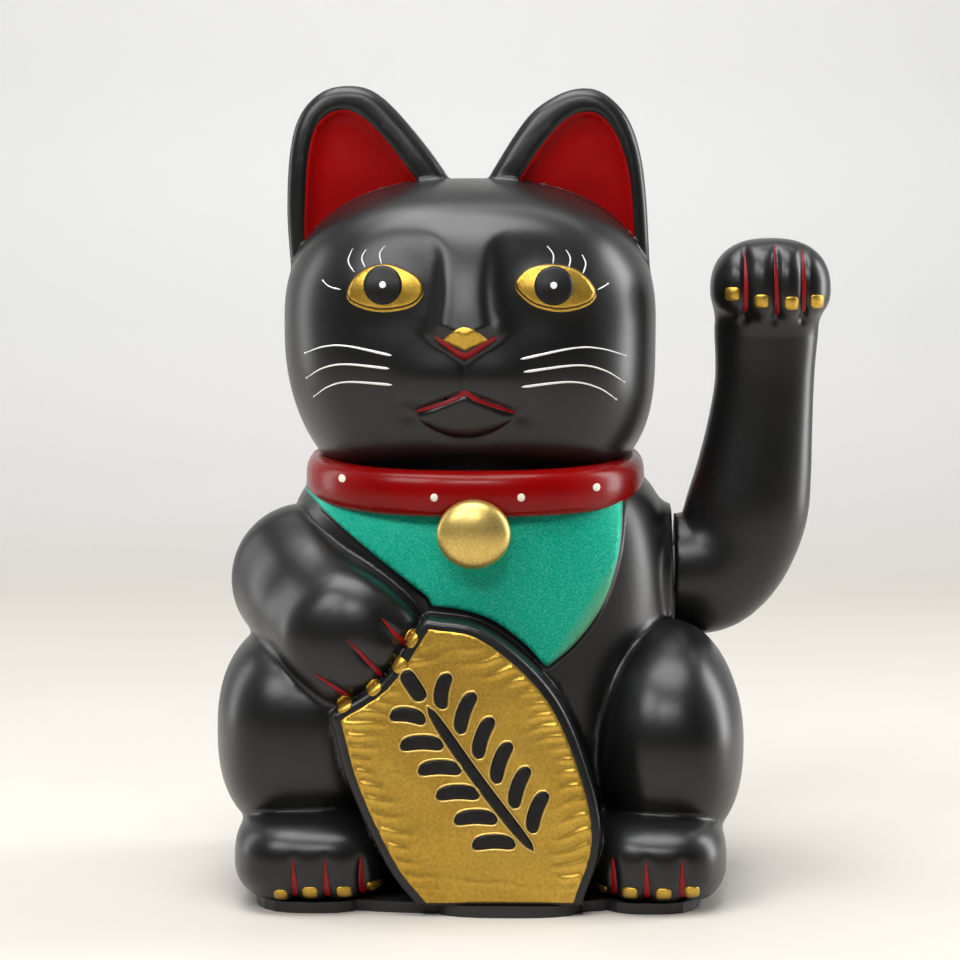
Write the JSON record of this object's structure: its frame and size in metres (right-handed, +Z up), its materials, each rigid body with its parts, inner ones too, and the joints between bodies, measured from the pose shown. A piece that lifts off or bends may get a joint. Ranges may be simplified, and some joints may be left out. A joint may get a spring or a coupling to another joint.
{
  "type": "beckoning cat figurine",
  "caption": "Seated beckoning cat with a raised paw that rocks on a shaft through its shoulder, moved by a hidden magnetic pendulum; it holds an oval coin and opens underneath for a battery.",
  "frame": {"origin": "on the floor under the middle of the base plate's width, in the plane where the front and rear shells meet", "axes": "+Z up, -Y the way the cat faces, +X towards the side of the raised arm, along the arm's shaft"},
  "size_m": [0.2304, 0.1643, 0.2999],
  "materials": {
    "black_plastic": "satin black moulded plastic",
    "dark_plastic": "matt dark grey plastic",
    "white_plastic": "natural white plastic",
    "steel": "zinc-plated steel",
    "nickel": "nickel-plated",
    "copper": "enamelled copper wire",
    "bronze": "sintered bronze",
    "green_board": "green lacquered board",
    "cell_label": "printed film sleeve, plain dark blue",
    "red_wire": "red insulation",
    "black_wire": "black insulation"
  },
  "bodies": {
    "figure": {"front_shell": "black_plastic", "rear_shell": "black_plastic", "base_plate": "dark_plastic", "battery_box": "dark_plastic", "capacitor": "dark_plastic", "transistor": "dark_plastic", "shoulder_bush": "white_plastic", "pendulum_frame": "white_plastic", "coil_bobbin": "white_plastic", "resistor": "white_plastic", "base_screw_1": "steel", "base_screw_2": "steel", "base_screw_3": "steel", "base_screw_4": "steel", "frame_screw_left": "steel", "frame_screw_right": "steel", "board_screw_1": "steel", "board_screw_2": "steel", "positive_contact": "nickel", "negative_contact": "nickel", "contact_spring": "nickel", "drive_coil": "copper", "coil_lead_start": "copper", "coil_lead_end": "copper", "shaft_bearing_left": "bronze", "shaft_bearing_right": "bronze", "circuit_board": "green_board", "battery_cell": "cell_label", "battery_lead_positive": "red_wire", "battery_lead_negative": "black_wire"},
    "arm": {"arm_front_shell": "black_plastic", "arm_rear_shell": "black_plastic", "arm_hub": "white_plastic", "hub_set_screw": "steel", "arm_shaft": "steel", "retaining_ring_left": "steel", "retaining_ring_right": "steel", "pendulum_lever": "white_plastic", "pendulum_weight_left": "steel", "pendulum_weight_right": "steel", "weight_rivet": "steel", "drive_magnet": "nickel"},
    "door": {"battery_door": "dark_plastic"}
  },
  "joints": [
    {"name": "arm_swing", "type": "hinge", "parent": "figure", "child": "arm", "pos_m": [0.073, 0, 0.116], "axis": [1, 0, 0], "range_deg": [-25, 25]},
    {"name": "door_hinge", "type": "hinge", "parent": "figure", "child": "door", "pos_m": [0, 0.0234, 0.0015], "axis": [-1, 0, 0], "range_deg": [0, 85]}
  ]
}
